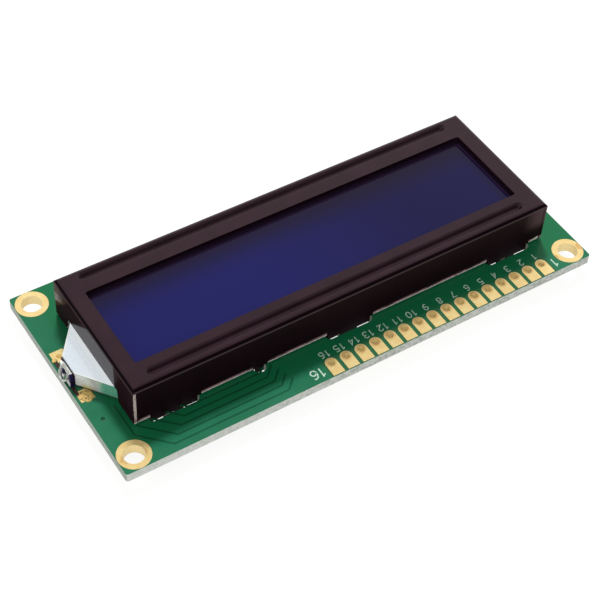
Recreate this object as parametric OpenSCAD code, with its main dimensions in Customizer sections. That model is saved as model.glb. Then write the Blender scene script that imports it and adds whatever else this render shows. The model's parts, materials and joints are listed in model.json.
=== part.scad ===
// Character LCD module, sixteen pins, side-lit, on a bare circuit board.
// Frame: the board's centre is the origin in X and Y, and Z = 0 is the lowest point,
// the flats of the two epoxy domes under the board. The display faces +Z and the
// row of header pads runs along the -Y edge. All sizes are in millimetres.

/* [Circuit board] */
// Length of the board
board_l = 80; // [78:0.5:90]
// Width of the board
board_w = 36; // [35:0.5:44]
// Thickness of the board
board_t = 1.6; // [1.2:0.1:2]
// Radius of the board's corners
board_corner_r = 0.4; // [0.2:0.1:1]

/* [Plating] */
// Height of a plated pad above the board, and thickness of a plated hole's wall
plating_t = 0.05; // [0.03:0.01:0.08]

/* [Mounting holes] */
// Distance of each mounting hole's centre from the two nearest board edges
mount_edge = 2.5; // [2.5:0.1:3]
// Bore of a mounting hole, inside its plating
mount_hole_d = 3.1; // [2.5:0.1:3.4]
// Outer diameter of the gold ring round a mounting hole
mount_ring_d = 4.9; // [4.2:0.1:4.9]

/* [Header row] */
// Number of pins that the header row takes
pin_count = 16; // [14:1:16]
// Distance between neighbouring pins
pin_pitch = 2.54; // [2.3:0.02:2.6]
// Distance of pin 1 from the board's right-hand edge
pin_end_gap = 7.8; // [7.5:0.1:9]
// Distance of the row of holes from the board's front edge
pin_edge_gap = 2.3; // [2.1:0.1:2.8]
// Bore of a pin hole, inside its plating
pin_hole_d = 1.0; // [0.8:0.05:1.1]
// Width of a header pad
pad_w = 1.9; // [1.6:0.05:2]
// Distance that a header pad stops short of the board's edge
pad_edge_gap = 0.15; // [0.1:0.05:0.4]

/* [Bezel] */
// Distance from the board's left-hand edge, where the lamp is, to the bezel
bezel_gap_left = 4.75; // [4:0.05:6]
// Distance from the board's right-hand edge to the bezel
bezel_gap_right = 4.45; // [4:0.05:6]
// Width of the bezel over its long walls
bezel_w = 23.5; // [23.2:0.1:24]
// Offset of the bezel's centre from the board's, across the board
bezel_y = 0.4; // [0.3:0.05:0.6]
// Thickness of the bezel's steel sheet
sheet_t = 0.5; // [0.4:0.05:0.6]
// Outer radius of the bends between the bezel's face and its walls
bend_r = 0.7; // [0.65:0.05:0.9]
// Radius of the bezel's upright corners
upright_r = 0.15; // [0.1:0.05:0.3]
// Width of the seam at each upright corner, between an end wall and a long wall
seam_gap = 0.1; // [0.05:0.01:0.15]
// Gap between the board and the lower edge of the bezel's walls
wall_gap = 0.4; // [0.2:0.05:0.6]

/* [Window] */
// Distance from the bezel's left-hand end to the window
rim_left = 2.75; // [2.5:0.05:4]
// Distance from the bezel's right-hand end to the window
rim_right = 3.05; // [2.5:0.05:4]
// Distance from the bezel's near wall to the window
rim_near = 4.25; // [4:0.05:5]
// Distance from the bezel's far wall to the window
rim_far = 4.55; // [4:0.05:5]
// Radius of the window's corners
window_corner_r = 0.35; // [0.2:0.05:0.6]

/* [Beads] */
// Distance of the near bead's middle from the near wall's outer face
bead_inset_near = 2; // [1.9:0.05:2.1]
// Distance of the far bead's middle from the far wall's outer face
bead_inset_far = 1.6; // [1.55:0.05:1.75]
// Width of a bead's dip at the bezel's face
bead_w = 1.6; // [1.2:0.05:1.6]
// Width of the flat at the bottom of a bead
bead_floor_w = 0.2; // [0.1:0.05:0.4]
// Further width of a bead on its underside, on each side
bead_spread = 0.15; // [0.1:0.05:0.15]
// Number of facets on each side of a bead's dip
bead_facets = 8; // [6:1:12]
// Depth of a bead, which is the space over the glass
bead_depth = 0.7; // [0.5:0.05:0.9]
// Length that a bead falls short of the window's length
bead_short = 0.8; // [0.4:0.1:3]

/* [Bezel tabs] */
// Distance of each outer slot's middle inward from the bezel's end
slot_inset = 6.4; // [6:0.1:8]
// Length of a slot in the board
slot_l = 8; // [7:0.1:8.5]
// Width of a slot in the board
slot_w = 1.5; // [1.3:0.05:1.5]
// Distance of a slot's middle outward from the middle of the wall
slot_offset = 0.15; // [0:0.05:0.2]
// Length of the skirt that drops into a slot
skirt_l = 7.4; // [6:0.1:7.4]
// Depth of a skirt below the board's face
skirt_depth = 0.8; // [0.4:0.1:1]
// Width of a twisted tab
tab_w = 3; // [2:0.1:3.6]
// Length of a tab below the back of the board
tab_out = 1.4; // [1:0.1:1.6]
// Angle that a tab is twisted through to lock the bezel
tab_twist = 38; // [20:1:60]
// Distance of the locating stub from the board's centre, along the board
stub_x = 15.1; // [12:0.1:17]
// Width of the locating stub
stub_w = 1.2; // [0.8:0.1:1.4]
// Diameter of the hole that takes the locating stub
stub_hole_d = 2; // [1.8:0.05:2.2]

/* [Display cell] */
// Thickness of each sheet of glass
glass_t = 1.1; // [0.7:0.1:1.3]
// Gap between each end of the glass and the bezel's end wall
glass_end_gap = 0.6; // [0.5:0.05:1]
// Thickness of each polarizer
polarizer_t = 0.2; // [0.1:0.05:0.25]
// Distance that a polarizer reaches under the bezel at each end of the window
polarizer_lap = 0.8; // [0.4:0.1:1]
// Distance that a polarizer stops short of the contact strips' clearance
polarizer_inset = 0.3; // [0.2:0.05:0.5]
// Space between the two sheets of glass
cell_gap = 0.05; // [0.03:0.01:0.08]
// Width of the seal round the liquid crystal
seal_w = 1; // [0.6:0.1:1.2]
// Width of the blob that closes the filling port
port_w = 3; // [2:0.1:4]

/* [Contact strips] */
// Width of each elastomer contact strip
strip_w = 1.5; // [1.3:0.05:1.5]
// Distance between neighbouring gold contacts under the strips
finger_pitch = 1.5; // [1.3:0.05:2]
// Width of a gold contact
finger_w = 0.9; // [0.5:0.05:1.1]
// Side clearance between a strip and what lies beside it
strip_clear = 0.3; // [0.2:0.05:0.5]
// Distance of the first and last contacts from the strip's ends
finger_end_gap = 1.6; // [1:0.1:2]

/* [Backlight] */
// Thickness of the reflector under the light guide
reflector_t = 0.1; // [0.05:0.01:0.2]
// Thickness of the light guide under the display
guide_t = 3.2; // [2.8:0.1:3.6]
// Gap between each end of the light guide and the bezel's end wall
guide_end_gap = 0.3; // [0.2:0.05:0.5]
// Thickness of the light guide's tongue
tongue_t = 2.4; // [2:0.1:2.6]
// Half width of the tongue where it leaves the bezel
tongue_root = 6.6; // [6:0.1:7]
// Distance that each side of the tongue's tip stops short of the lamp's side
tongue_tip_inset = 0.1; // [0:0.05:0.3]
// Side clearance of the tongue at the top of its notch in the bezel
notch_clear = 0.15; // [0.1:0.05:0.4]
// Further distance that each side of the notch slopes outward on its way down
notch_splay = 0.4; // [0:0.1:1.2]
// Thickness of the white film on the tongue
tongue_film_t = 0.1; // [0.05:0.01:0.15]
// Thickness of the diffuser films
diffuser_t = 0.35; // [0.2:0.05:0.5]
// Clearance over the diffuser and over the tongue's film
stack_clear = 0.1; // [0.05:0.01:0.15]

/* [Lamp] */
// Offset of the lamp and tongue from the board's centre, across the board
led_y = 0.8; // [0.5:0.05:1.1]
// Width of the lamp
led_w = 4; // [3.6:0.1:4.2]
// Depth of the lamp, along the board
led_depth = 1; // [0.8:0.05:1.1]
// Height of the lamp
led_h = 2.2; // [1.8:0.1:2.3]
// Radius of the lamp's rounded upright corners on its back
led_corner_r = 0.3; // [0.1:0.05:0.35]
// Outer diameter of the round collar on the lamp's back
led_collar_d = 2.1; // [1.8:0.1:2.1]
// Height of the collar above the lamp's back
led_collar_h = 0.2; // [0.1:0.05:0.25]
// Diameter of the cup in the collar at its mouth
led_cup_d = 1.4; // [1:0.1:1.5]
// Diameter of the cup at its bottom
led_cup_floor_d = 0.8; // [0.5:0.1:0.9]
// Depth of the cup
led_cup_depth = 0.4; // [0.2:0.05:0.4]
// Distance of the lamp from the board's left-hand edge
led_edge_gap = 0.1; // [0.05:0.05:0.3]
// Gap between the lamp and the tongue
led_clear = 0.05; // [0.02:0.01:0.1]
// Width of the lamp's rim round its recess
led_rim = 0.35; // [0.25:0.05:0.5]
// Distance between the lamp's two pads
led_pad_pitch = 8; // [7.6:0.1:8.4]
// Side of a lamp pad
led_pad_w = 2.1; // [1.9:0.05:2.2]
// Distance of the lamp's pads from the board's left-hand edge
led_pad_edge_gap = 0.45; // [0.3:0.05:0.6]
// Bore of a lamp pad's hole
led_hole_d = 0.8; // [0.6:0.05:0.9]
// Width of a lamp lead
lead_w = 0.5; // [0.4:0.05:0.6]
// Thickness of a lamp lead
lead_t = 0.15; // [0.1:0.01:0.2]
// Length of a lamp lead under the lamp
lead_under = 0.6; // [0.4:0.05:0.8]
// Diameter of the solder on a lamp pad
solder_d = 0.9; // [0.8:0.05:1]
// Height of the solder on a lamp pad
solder_h = 0.3; // [0.25:0.05:0.4]

/* [Chips on the back] */
// Height of the epoxy domes, which the module stands on
dome_h = 1.8; // [1.7:0.1:2.2]
// Diameter of the controller's dome
controller_d = 16; // [14:0.5:17]
// Diameter of the driver's dome
driver_d = 13; // [12:0.5:15]
// Distance of each dome from the board's centre, along the board
dome_x = 16; // [14:0.5:17]
// Height taken off a dome's crown to leave its flat
dome_flat = 0.2; // [0.1:0.05:0.3]
// Length of a chip resistor or capacitor
chip_l = 2; // [1.6:0.1:2.2]
// Width of a chip resistor or capacitor
chip_w = 1.25; // [0.8:0.05:1.4]
// Height of a chip resistor
resistor_h = 0.5; // [0.4:0.05:0.6]
// Height of a chip capacitor
capacitor_h = 0.8; // [0.6:0.05:0.9]
// Length of a chip's metal end cap
cap_l = 0.4; // [0.25:0.05:0.5]
// Thickness of a chip's metal end cap
cap_t = 0.05; // [0.03:0.01:0.08]
// Number of chip resistors in the column
resistor_count = 5; // [3:1:5]
// Distance between neighbouring chips
chip_pitch = 3; // [2.4:0.1:3.2]
// Distance of the resistors from the board's right-hand edge
resistor_edge_gap = 9; // [8:0.5:11]
// Length of a chip's pad that shows past the chip's end
pad_show = 0.35; // [0.2:0.05:0.5]
// Width of the copper round a hole under the board
ring_w = 0.4; // [0.3:0.05:0.5]

/* [Hidden] */
$fn = 48;

// cutters run this far past the faces that they cut
past = 0.5;

// board
board_z = dome_h;
face_z = board_z + board_t;
mount_x = board_l / 2 - mount_edge;
mount_y = board_w / 2 - mount_edge;
pin1_x = board_l / 2 - pin_end_gap;
pin_y = -board_w / 2 + pin_edge_gap;

// levels of the display stack, upward from the board's face: the reflector lies on the lamp's pads
reflector_z = face_z + plating_t;
guide_z = reflector_z + reflector_t;
diffuser_z = guide_z + guide_t;
rear_polarizer_z = diffuser_z + diffuser_t + stack_clear;
rear_glass_z = rear_polarizer_z + polarizer_t;
cell_z = rear_glass_z + glass_t;
front_glass_z = cell_z + cell_gap;
front_polarizer_z = front_glass_z + glass_t;
ceiling_z = front_polarizer_z + bead_depth;
top_z = ceiling_z + sheet_t;
wall_z = face_z + wall_gap;

// bezel
left_x = -board_l / 2 + bezel_gap_left;
right_x = board_l / 2 - bezel_gap_right;
bezel_l = right_x - left_x;
bezel_x = (left_x + right_x) / 2;
near_y = bezel_y - bezel_w / 2;
far_y = bezel_y + bezel_w / 2;
near_bead_y = near_y + bead_inset_near;
far_bead_y = far_y - bead_inset_far;
window_l = bezel_l - rim_left - rim_right;
window_w = bezel_w - rim_near - rim_far;
window_x = left_x + rim_left + window_l / 2;
window_y = near_y + rim_near + window_w / 2;
bead_l = window_l - bead_short;
inner_bend_r = bend_r - sheet_t;
slot_x = bezel_l / 2 - slot_inset;
slot_xs = [-slot_x, 0, slot_x];

// display cell: the front glass reaches over both contact strips
glass_l = bezel_l - 2 * (sheet_t + glass_end_gap);
cell_y = (near_bead_y + far_bead_y) / 2;
front_glass_w = far_bead_y - near_bead_y + strip_w;
core_w = far_bead_y - near_bead_y - strip_w - 2 * strip_clear;
polarizer_l = window_l + 2 * polarizer_lap;
polarizer_w = core_w - 2 * polarizer_inset;
finger_count = floor((glass_l - 2 * finger_end_gap) / finger_pitch);
fingers_l = (finger_count - 1) * finger_pitch + finger_w;

// backlight and lamp
led_x = -board_l / 2 + led_edge_gap;
tongue_x = led_x + led_depth + led_clear;
tongue_tip = led_w / 2 - tongue_tip_inset;
tongue_slope = (tongue_root - tongue_tip) / (left_x - tongue_x);
guide_left = left_x + sheet_t + guide_end_gap;
guide_right = right_x - sheet_t - guide_end_gap;
tongue_film_z = guide_z + tongue_t;
notch_top = tongue_film_z + tongue_film_t + stack_clear;
notch_half = tongue_root + tongue_slope * sheet_t + notch_clear;
led_pad_x = -board_l / 2 + led_pad_edge_gap + led_pad_w / 2;
led_pad_ys = [led_y - led_pad_pitch / 2, led_y + led_pad_pitch / 2];
led_z = face_z + lead_t;
resistor_x = board_l / 2 - resistor_edge_gap;

// a flat rectangle with rounded corners
module round_rect(l, w, r) {
    square([l - 2 * r, w], center = true);
    square([l, w - 2 * r], center = true);
    for (x = [-1, 1], y = [-1, 1])
        translate([x * (l / 2 - r), y * (w / 2 - r)]) circle(r);
}

// an upright section with its two upper corners rounded
module arch(w, h, r) {
    translate([-w / 2, 0]) square([w, h - r]);
    translate([-w / 2 + r, 0]) square([w - 2 * r, h]);
    for (x = [-1, 1]) translate([x * (w / 2 - r), h - r]) circle(r);
}

// a block whose upper rim is rounded to r and whose upright corners are rounded to plan_r
module pan(l, w, h, r, plan_r) {
    intersection() {
        linear_extrude(h) round_rect(l, w, plan_r);
        rotate([90, 0, 90]) translate([0, 0, -l]) linear_extrude(2 * l) arch(w, h, r);
        rotate([90, 0, 0]) translate([0, 0, -w]) linear_extrude(2 * w) arch(l, h, r);
    }
}

// a slot with round ends along X
module stadium(l, w) {
    square([l - w, w], center = true);
    for (x = [-1, 1]) translate([x * (l - w) / 2, 0]) circle(w / 2);
}

// copies at the four mounting holes
module at_mounts() {
    for (x = [-1, 1], y = [-1, 1]) translate([x * mount_x, y * mount_y, 0]) children();
}

// copies at every pin hole, pin 1 first
module at_pins() {
    for (i = [0:pin_count - 1]) translate([pin1_x - i * pin_pitch, pin_y, 0]) children();
}

// copies at the two lamp pads
module at_led_pads() {
    for (y = led_pad_ys) translate([led_pad_x, y, 0]) children();
}

// places along the middle of a long wall: side is -1 for near and 1 for far
function wall_mid_y(side) = side < 0 ? near_y + sheet_t / 2 : far_y - sheet_t / 2;

// Glass-fibre board with its holes, slots and stub holes
module pcb() {
    color("#2f7553") difference() {
        translate([0, 0, board_z]) linear_extrude(board_t)
            round_rect(board_l, board_w, board_corner_r);
        at_mounts() through_hole(mount_hole_d + 2 * plating_t);
        at_pins() through_hole(pin_hole_d + 2 * plating_t);
        at_led_pads() through_hole(led_hole_d + 2 * plating_t);
        for (side = [-1, 1]) {
            for (x = slot_xs) translate([x, wall_mid_y(side) + side * slot_offset, board_z - past])
                linear_extrude(board_t + 2 * past) stadium(slot_l, slot_w);
            translate([side * stub_x, wall_mid_y(side), 0]) through_hole(stub_hole_d);
        }
    }
}

// a cutter through the whole board
module through_hole(d) {
    translate([0, 0, board_z - past]) cylinder(d = d, h = board_t + 2 * past);
}

// one plated hole: the two pads given as children, joined by the hole's barrel
module plated_hole(d) {
    difference() {
        union() {
            translate([0, 0, face_z]) linear_extrude(plating_t) children(0);
            translate([0, 0, board_z - plating_t]) linear_extrude(plating_t) children(1);
            translate([0, 0, board_z - plating_t])
                cylinder(d = d + 2 * plating_t, h = board_t + 2 * plating_t);
        }
        through_hole(d);
    }
}

// Gold rings and barrels of the four mounting holes
module mounting_rings() {
    color("#f0cf8a") at_mounts() plated_hole(mount_hole_d) {
        circle(d = mount_ring_d);
        circle(d = mount_ring_d);
    }
}

// outline of a header pad: round at the hole, square at the board's edge
module thumb() {
    circle(d = pad_w);
    translate([-pad_w / 2, -(pin_edge_gap - pad_edge_gap)])
        square([pad_w, pin_edge_gap - pad_edge_gap]);
}

// Gold pads and barrels of the header row
module header_pads() {
    color("#f0cf8a") at_pins() plated_hole(pin_hole_d) {
        thumb();
        thumb();
    }
}

// Gold pads and barrels that the lamp is soldered to
module led_pads() {
    color("#f0cf8a") at_led_pads() plated_hole(led_hole_d) {
        square(led_pad_w, center = true);
        circle(d = led_hole_d + 2 * ring_w);
    }
}

// Rows of gold contacts on the board under the two contact strips
module contact_fingers() {
    color("#d9b060")
        for (y = [near_bead_y, far_bead_y], i = [0:finger_count - 1])
            translate([bezel_x - fingers_l / 2 + i * finger_pitch, y - strip_w / 2, face_z])
                cube([finger_w, strip_w, plating_t]);
}

// a contact strip, squeezed between the gold contacts and the front glass
module elastomer_strip(y) {
    color("#d8d8d2") translate([bezel_x - glass_l / 2, y - strip_w / 2, face_z + plating_t])
        cube([glass_l, strip_w, front_glass_z - face_z - plating_t]);
}

// Contact strip on the header's side
module elastomer_near() { elastomer_strip(near_bead_y); }

// Contact strip on the other side
module elastomer_far() { elastomer_strip(far_bead_y); }

// outline of the light guide's body between the contact strips
module guide_body() {
    translate([guide_left, cell_y - core_w / 2]) square([guide_right - guide_left, core_w]);
}

// outline of the tongue, from the lamp to the given place inside the bezel
module tongue(to_x) {
    half = tongue_root + tongue_slope * (to_x - left_x);
    translate([0, led_y]) polygon([[tongue_x, -tongue_tip], [tongue_x, tongue_tip],
        [to_x, half], [to_x, -half]]);
}

// White reflector under the whole light guide
module reflector_film() {
    color("#f2f2f0") translate([0, 0, reflector_z]) linear_extrude(reflector_t) {
        guide_body();
        tongue(guide_left);
    }
}

// Clear acrylic light guide with its tapered tongue
module light_guide() {
    color("#d8e4ea") translate([0, 0, guide_z]) {
        linear_extrude(guide_t) guide_body();
        linear_extrude(tongue_t) tongue(guide_left);
    }
}

// White film on top of the tongue, from the lamp to the bezel's wall
module tongue_film() {
    color("#dfe7ee") translate([0, 0, tongue_film_z]) linear_extrude(tongue_film_t)
        tongue(left_x + sheet_t);
}

// Diffuser films on the light guide
module diffuser_film() {
    color("#eef0f2") translate([0, 0, diffuser_z]) linear_extrude(diffuser_t) guide_body();
}

// a sheet centred on the display cell
module cell_sheet(l, w, z, t) {
    translate([bezel_x - l / 2, cell_y - w / 2, z]) cube([l, w, t]);
}

// Polarizer under the cell
module rear_polarizer() {
    color("#23264a") cell_sheet(polarizer_l, polarizer_w, rear_polarizer_z, polarizer_t);
}

// Rear sheet of glass, which fits between the contact strips
module rear_glass() {
    color("#4a5578") cell_sheet(glass_l, core_w, rear_glass_z, glass_t);
}

// Seal that holds the two sheets of glass together
module cell_seal() {
    color("#6a6a60") difference() {
        cell_sheet(glass_l, core_w, cell_z, cell_gap);
        cell_sheet(glass_l - 2 * seal_w, core_w - 2 * seal_w, cell_z - past, cell_gap + 2 * past);
    }
}

// Liquid crystal inside the seal
module liquid_crystal() {
    color("#2a2a70") cell_sheet(glass_l - 2 * seal_w, core_w - 2 * seal_w, cell_z, cell_gap);
}

// Resin over the filling port at the cell's right-hand end
module fill_port_seal() {
    color("#c9b98a") translate([bezel_x + glass_l / 2, cell_y, cell_z + cell_gap / 2])
        intersection() {
            scale(port_w / 2) sphere(1);
            translate([0, -port_w / 2, -glass_t * 0.8])
                cube([strip_clear, port_w, glass_t * 1.6]);
        }
}

// Front sheet of glass, which rests on both contact strips
module front_glass() {
    color("#39406e") cell_sheet(glass_l, front_glass_w, front_glass_z, glass_t);
}

// Polarizer that shows in the window
module front_polarizer() {
    color("#2a2a60") cell_sheet(polarizer_l, polarizer_w, front_polarizer_z, polarizer_t);
}

// right half of a bead's smooth dip, from its flat bottom up to the given width, and further up
function half_dip(w, above) = [
    [0, 0],
    for (i = [0:bead_facets]) let (t = i / bead_facets)
        [(bead_floor_w + t * (w - bead_floor_w)) / 2, bead_depth * (1 - cos(180 * t)) / 2],
    [w / 2, bead_depth + above],
    [0, bead_depth + above]
];

// one bead along X with round ends, as wide as given at its top
module dip(w, above) {
    half = (bead_l - w) / 2;
    for (side = [0, 1]) mirror([0, side, 0]) rotate([90, 0, 90]) translate([0, 0, -half])
        linear_extrude(2 * half) polygon(half_dip(w, above));
    for (x = [-1, 1]) translate([x * half, 0, 0]) rotate_extrude() polygon(half_dip(w, above));
}

// the two beads: bodies for the metal that presses on the glass, grooves for the dips in the face
module bead_bodies() {
    for (y = [near_bead_y, far_bead_y]) translate([window_x, y, front_polarizer_z])
        dip(bead_w + 2 * bead_spread, sheet_t / 2);
}
module bead_grooves() {
    for (y = [near_bead_y, far_bead_y]) translate([window_x, y, front_polarizer_z + sheet_t])
        dip(bead_w, past);
}

// skirts and twisted tabs that hold one long wall in its slots, and its locating stub
module wall_fixings(side) {
    y = wall_mid_y(side);
    for (x = slot_xs) {
        translate([x - skirt_l / 2, y - sheet_t / 2, face_z - skirt_depth])
            cube([skirt_l, sheet_t, skirt_depth + wall_gap + bend_r]);
        translate([x - tab_w / 2, y - sheet_t / 2, board_z])
            cube([tab_w, sheet_t, board_t]);
        translate([x, y, board_z]) twisted_tab(side);
    }
    translate([side * stub_x - stub_w / 2, y - sheet_t / 2, face_z - skirt_depth])
        cube([stub_w, sheet_t, skirt_depth + wall_gap + bend_r]);
}

// the end of a tab below the board: half of its length twists and the rest stays straight
module twisted_tab(side) {
    turn = tab_out / 2;
    mirror([0, 0, 1]) {
        linear_extrude(turn, twist = side * tab_twist, slices = 4, $fn = 8)
            square([tab_w, sheet_t], center = true);
        translate([0, 0, turn]) rotate(-side * tab_twist)
            linear_extrude(tab_out - turn) square([tab_w, sheet_t], center = true);
    }
}

// the notch in the left-hand wall, which slopes outward from its top to the wall's lower edge
module tongue_notch() {
    foot_z = wall_z - past;
    foot_half = notch_half + notch_splay * (notch_top - foot_z) / (notch_top - wall_z);
    translate([left_x - past, led_y, 0]) rotate([90, 0, 90]) linear_extrude(sheet_t + 2 * past)
        polygon([[-foot_half, foot_z], [foot_half, foot_z],
            [notch_half, notch_top], [-notch_half, notch_top]]);
}

// the open seams at the four upright corners, which leave each end wall's cut edges bare
module corner_seams() {
    for (x = [-1, 1], y = [-1, 1])
        translate([bezel_x + x * (bezel_l / 2 - sheet_t - seam_gap / 2) - seam_gap / 2,
                bezel_y + y * (bezel_w - sheet_t) / 2 - sheet_t / 2 - past, wall_z - past])
            cube([seam_gap, sheet_t + 2 * past, top_z - bend_r - wall_z + past]);
}

// Stamped steel bezel with its window, beads, notch for the tongue, skirts and tabs
module bezel() {
    height = top_z - wall_z;
    color("#3b2c30") difference() {
        union() {
            translate([bezel_x, bezel_y, wall_z]) difference() {
                pan(bezel_l, bezel_w, height, bend_r, upright_r);
                translate([0, 0, -past])
                    pan(bezel_l - 2 * sheet_t, bezel_w - 2 * sheet_t,
                        height - sheet_t + past, inner_bend_r, inner_bend_r);
            }
            bead_bodies();
            for (side = [-1, 1]) wall_fixings(side);
        }
        translate([window_x, window_y, ceiling_z - past]) linear_extrude(sheet_t + 2 * past)
            round_rect(window_l, window_w, window_corner_r);
        bead_grooves();
        tongue_notch();
        corner_seams();
    }
}

// Lamp's pale housing, open towards the tongue, with a cupped collar on its back
module led_housing() {
    color("#dfe2e0") difference() {
        union() {
            translate([led_x + led_collar_h, led_y, led_z]) led_block();
            translate([led_x, led_y, led_z + led_h / 2]) rotate([0, 90, 0])
                cylinder(d = led_collar_d, h = led_depth / 2);
        }
        translate([led_x, led_y, led_z + led_h / 2]) rotate([0, 90, 0])
            cylinder(d1 = led_cup_d, d2 = led_cup_floor_d, h = led_cup_depth);
        led_recess();
    }
}

// the lamp's block, whose upright corners are rounded on the side away from the tongue
module led_block() {
    l = led_depth - led_collar_h;
    linear_extrude(led_h) intersection() {
        translate([l, 0]) round_rect(2 * l, led_w, led_corner_r);
        translate([0, -led_w / 2]) square([l, led_w]);
    }
}

// the recess in the lamp that holds its phosphor
module led_recess() {
    translate([led_x + led_depth / 2, led_y - led_w / 2 + led_rim, led_z + led_rim])
        cube([led_depth / 2 + past, led_w - 2 * led_rim, led_h - 2 * led_rim]);
}

// Clear window over the lamp's phosphor, flush with the housing
module led_window() {
    color("#e8e0a0") intersection() {
        led_recess();
        translate([led_x, led_y - led_w / 2, led_z]) cube([led_depth, led_w, led_h]);
    }
}

// Flat leads that run from under the lamp to its pads
module led_leads() {
    color("#6a5a50") for (side = [-1, 1]) {
        from = led_y + side * (led_w / 2 - lead_under);
        to = led_y + side * (led_pad_pitch / 2 - led_hole_d / 2);
        translate([led_x + led_depth / 2 - lead_w / 2, min(from, to), face_z + plating_t])
            cube([lead_w, abs(to - from), lead_t - plating_t]);
    }
}

// Solder on the lamp's pads, round the ends of the leads
module led_solder() {
    color("#b9b4a6") for (side = [-1, 1])
        translate([led_x + led_depth / 2, led_y + side * (led_pad_pitch / 2 - led_pad_w / 4), 0])
            difference() {
                translate([0, 0, face_z + plating_t])
                    cylinder(d1 = solder_d, d2 = solder_d / 2, h = solder_h);
                translate([-lead_w / 2, -solder_d, face_z]) cube([lead_w, 2 * solder_d, lead_t]);
            }
}

// a dome of epoxy under the board, its crown cut flat
module dome(d, x) {
    crown = dome_h + dome_flat;
    r = (d * d / 4 + crown * crown) / (2 * crown);
    translate([x, led_y, 0]) intersection() {
        translate([0, 0, board_z + r - crown]) sphere(r, $fn = 96);
        translate([0, 0, 0]) cylinder(d = d + 1, h = dome_h);
    }
}

// Epoxy dome over the controller chip
module controller_dome() { color("#151515") dome(controller_d, -dome_x); }

// Epoxy dome over the driver chip
module driver_dome() { color("#151515") dome(driver_d, dome_x); }

// copies at each chip resistor, in a column beside the driver
module at_resistors() {
    for (i = [0:resistor_count - 1])
        translate([resistor_x, (i - (resistor_count - 1) / 2) * chip_pitch, board_z - plating_t])
            children();
}

// copies at each chip capacitor, between the domes
module at_capacitors() {
    for (side = [-1, 1]) translate([0, side * chip_pitch, board_z - plating_t]) children();
}

// the ceramic body of a chip, hanging under the board between its end caps
module chip_body(h) {
    translate([-chip_l / 2 + cap_t, -chip_w / 2, -h + cap_t])
        cube([chip_l - 2 * cap_t, chip_w, h - 2 * cap_t]);
}

// the two metal caps that wrap the ends of a chip
module chip_caps(h) {
    for (side = [-1, 1]) difference() {
        translate([side * (chip_l - cap_l) / 2 - cap_l / 2, -chip_w / 2, -h])
            cube([cap_l, chip_w, h]);
        chip_body(h);
    }
}

// Ceramic bodies of the chip resistors
module resistor_bodies() { color("#1b1b1e") at_resistors() chip_body(resistor_h); }

// Metal end caps of the chip resistors
module resistor_caps() { color("#c8c8cc") at_resistors() chip_caps(resistor_h); }

// Ceramic bodies of the chip capacitors
module capacitor_bodies() { color("#b39b78") at_capacitors() chip_body(capacitor_h); }

// Metal end caps of the chip capacitors
module capacitor_caps() { color("#c8c8cc") at_capacitors() chip_caps(capacitor_h); }

// Tinned pads that the chips are soldered to
module chip_pads() {
    color("#c9c4b4") {
        at_resistors() chip_pad_pair();
        at_capacitors() chip_pad_pair();
    }
}

// two pads, one under each end cap of a chip and a little longer
module chip_pad_pair() {
    for (side = [0, 1]) mirror([side, 0, 0]) translate([chip_l / 2 - cap_l, -chip_w / 2, 0])
        cube([cap_l + pad_show, chip_w, plating_t]);
}

pcb();
mounting_rings();
header_pads();
led_pads();
contact_fingers();
elastomer_near();
elastomer_far();
reflector_film();
light_guide();
tongue_film();
diffuser_film();
rear_polarizer();
rear_glass();
cell_seal();
liquid_crystal();
fill_port_seal();
front_glass();
front_polarizer();
bezel();
led_housing();
led_window();
led_leads();
led_solder();
controller_dome();
driver_dome();
resistor_bodies();
resistor_caps();
capacitor_bodies();
capacitor_caps();
chip_pads();
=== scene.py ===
"""Looks of the character LCD module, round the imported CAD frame."""

import json
import math

import bmesh
import bpy
from mathutils import Matrix, Vector


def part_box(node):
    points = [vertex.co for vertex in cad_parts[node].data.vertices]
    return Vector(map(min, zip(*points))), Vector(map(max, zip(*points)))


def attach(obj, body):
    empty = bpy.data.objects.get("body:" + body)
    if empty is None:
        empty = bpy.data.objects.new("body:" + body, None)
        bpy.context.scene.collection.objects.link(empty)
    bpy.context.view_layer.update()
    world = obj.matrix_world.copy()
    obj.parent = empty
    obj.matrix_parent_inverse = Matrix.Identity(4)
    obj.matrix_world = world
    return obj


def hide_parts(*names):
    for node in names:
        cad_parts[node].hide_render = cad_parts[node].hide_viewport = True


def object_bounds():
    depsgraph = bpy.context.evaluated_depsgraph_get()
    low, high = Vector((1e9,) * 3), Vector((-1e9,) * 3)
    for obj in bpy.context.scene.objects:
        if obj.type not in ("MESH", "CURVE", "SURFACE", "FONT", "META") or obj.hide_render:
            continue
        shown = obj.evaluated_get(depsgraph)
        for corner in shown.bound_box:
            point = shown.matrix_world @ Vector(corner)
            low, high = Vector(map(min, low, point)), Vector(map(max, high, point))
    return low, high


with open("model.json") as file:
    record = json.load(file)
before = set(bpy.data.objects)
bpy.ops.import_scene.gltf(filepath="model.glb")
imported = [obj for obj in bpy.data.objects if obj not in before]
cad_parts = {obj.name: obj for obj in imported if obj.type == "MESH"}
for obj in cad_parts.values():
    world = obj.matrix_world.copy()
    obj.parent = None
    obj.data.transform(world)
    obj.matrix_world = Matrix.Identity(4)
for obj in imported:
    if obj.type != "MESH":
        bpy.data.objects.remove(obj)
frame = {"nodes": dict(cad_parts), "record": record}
NODES = frame["nodes"]
CAD_LO, CAD_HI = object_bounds()
MM = 0.001

# ---------------------------------------------------------------- places read from the frame

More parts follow.
